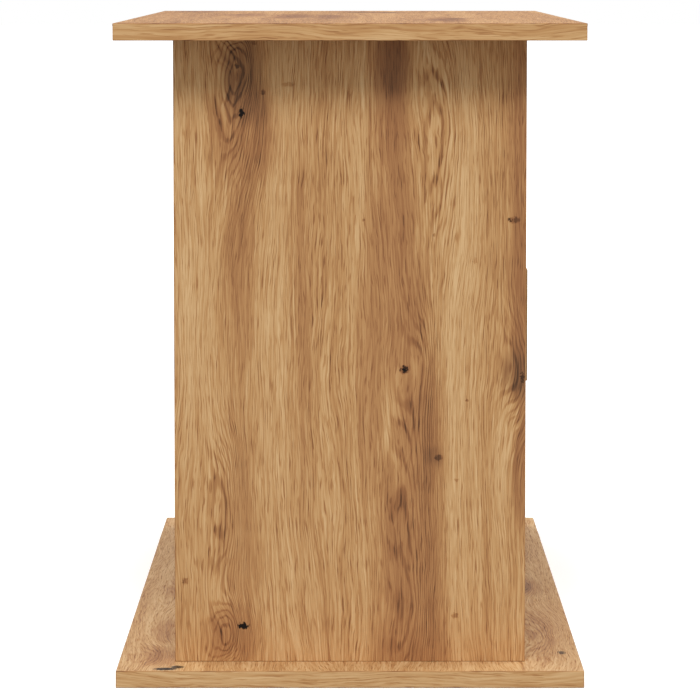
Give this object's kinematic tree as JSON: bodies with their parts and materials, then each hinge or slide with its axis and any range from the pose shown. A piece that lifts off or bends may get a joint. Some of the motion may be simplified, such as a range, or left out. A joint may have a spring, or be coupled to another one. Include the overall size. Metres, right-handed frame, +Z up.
{
  "type": "aquarium stand cabinet",
  "caption": "Low open-fronted aquarium stand of oak-faced board with an overhanging top and base, shelved bays and a central drawer on roller runners.",
  "frame": {"origin": "centre of the base's underside, on the floor", "axes": "+X along the length, towards the right end; -Y towards the front, where the drawer opens; +Z up"},
  "size_m": [1.01, 0.41, 0.58],
  "materials": {
    "oak_faced_board": "melamine-faced chipboard, brown oak decor with dark heartwood, satin",
    "hardboard": "thin brown hardboard, smooth face",
    "coated_steel": "white epoxy-coated sheet steel",
    "nylon": "natural white nylon",
    "zinc_casting": "die-cast zinc, dull",
    "zinc_plated_steel": "bright zinc-plated steel",
    "nickel_plated_steel": "nickel-plated steel"
  },
  "bodies": {
    "carcass": {"top_panel": "oak_faced_board", "base_panel": "oak_faced_board", "side_panel_left": "oak_faced_board", "divider_left": "oak_faced_board", "divider_right": "oak_faced_board", "side_panel_right": "oak_faced_board", "shelf_left": "oak_faced_board", "shelf_right": "oak_faced_board", "drawer_floor_shelf": "oak_faced_board", "drawer_roof_shelf": "oak_faced_board", "back_panel": "hardboard", "cabinet_runner_left": "coated_steel", "cabinet_runner_right": "coated_steel", "cam_lock_side_panel_left_front": "zinc_casting", "cam_lock_side_panel_left_rear": "zinc_casting", "cam_lock_divider_left_front": "zinc_casting", "cam_lock_divider_left_rear": "zinc_casting", "cam_lock_divider_right_front": "zinc_casting", "cam_lock_divider_right_rear": "zinc_casting", "cam_lock_side_panel_right_front": "zinc_casting", "cam_lock_side_panel_right_rear": "zinc_casting", "cam_bolt_side_panel_left_front": "zinc_plated_steel", "cam_bolt_side_panel_left_rear": "zinc_plated_steel", "cam_bolt_divider_left_front": "zinc_plated_steel", "cam_bolt_divider_left_rear": "zinc_plated_steel", "cam_bolt_divider_right_front": "zinc_plated_steel", "cam_bolt_divider_right_rear": "zinc_plated_steel", "cam_bolt_side_panel_right_front": "zinc_plated_steel", "cam_bolt_side_panel_right_rear": "zinc_plated_steel", "connecting_screw_side_panel_left_front": "zinc_plated_steel", "connecting_screw_side_panel_left_rear": "zinc_plated_steel", "connecting_screw_divider_left_front": "zinc_plated_steel", "connecting_screw_divider_left_rear": "zinc_plated_steel", "connecting_screw_divider_right_front": "zinc_plated_steel", "connecting_screw_divider_right_rear": "zinc_plated_steel", "connecting_screw_side_panel_right_front": "zinc_plated_steel", "connecting_screw_side_panel_right_rear": "zinc_plated_steel", "shelf_pin_side_panel_left_front": "nickel_plated_steel", "shelf_pin_side_panel_left_rear": "nickel_plated_steel", "shelf_pin_divider_left_front": "nickel_plated_steel", "shelf_pin_divider_left_rear": "nickel_plated_steel", "shelf_pin_divider_right_front": "nickel_plated_steel", "shelf_pin_divider_right_rear": "nickel_plated_steel", "shelf_pin_side_panel_right_front": "nickel_plated_steel", "shelf_pin_side_panel_right_rear": "nickel_plated_steel"},
    "drawer": {"drawer_front": "oak_faced_board", "drawer_box_front": "oak_faced_board", "drawer_box_back": "oak_faced_board", "drawer_side_left": "oak_faced_board", "drawer_side_right": "oak_faced_board", "drawer_bottom": "hardboard", "drawer_runner_left": "coated_steel", "drawer_runner_right": "coated_steel", "drawer_front_screw_left": "zinc_plated_steel", "drawer_front_screw_right": "zinc_plated_steel"},
    "front_roller_left": {"front_roller_left": "nylon"},
    "front_roller_right": {"front_roller_right": "nylon"},
    "rear_roller_left": {"rear_roller_left": "nylon"},
    "rear_roller_right": {"rear_roller_right": "nylon"}
  },
  "joints": [
    {"name": "drawer_slide", "type": "slide", "parent": "carcass", "child": "drawer", "axis": [0, -1, 0], "range_m": [0, 0.18]},
    {"name": "front_roller_left_spin", "type": "hinge", "parent": "carcass", "child": "front_roller_left", "pos_m": [-0.10462, -0.146, 0.25662], "axis": [1, 0, 0], "range_deg": [0, 1479]},
    {"name": "front_roller_right_spin", "type": "hinge", "parent": "carcass", "child": "front_roller_right", "pos_m": [0.10462, -0.146, 0.25662], "axis": [1, 0, 0], "range_deg": [0, 1479]},
    {"name": "rear_roller_left_spin", "type": "hinge", "parent": "drawer", "child": "rear_roller_left", "pos_m": [-0.10462, 0.084, 0.25338], "axis": [1, 0, 0], "range_deg": [0, 1479]},
    {"name": "rear_roller_right_spin", "type": "hinge", "parent": "drawer", "child": "rear_roller_right", "pos_m": [0.10462, 0.084, 0.25338], "axis": [1, 0, 0], "range_deg": [0, 1479]}
  ],
  "couplings": [
    {"joint": "front_roller_left_spin", "follows": "drawer_slide", "rad_per_m": 142.86},
    {"joint": "front_roller_right_spin", "follows": "drawer_slide", "rad_per_m": 142.86},
    {"joint": "rear_roller_left_spin", "follows": "drawer_slide", "rad_per_m": 142.86},
    {"joint": "rear_roller_right_spin", "follows": "drawer_slide", "rad_per_m": 142.86}
  ]
}
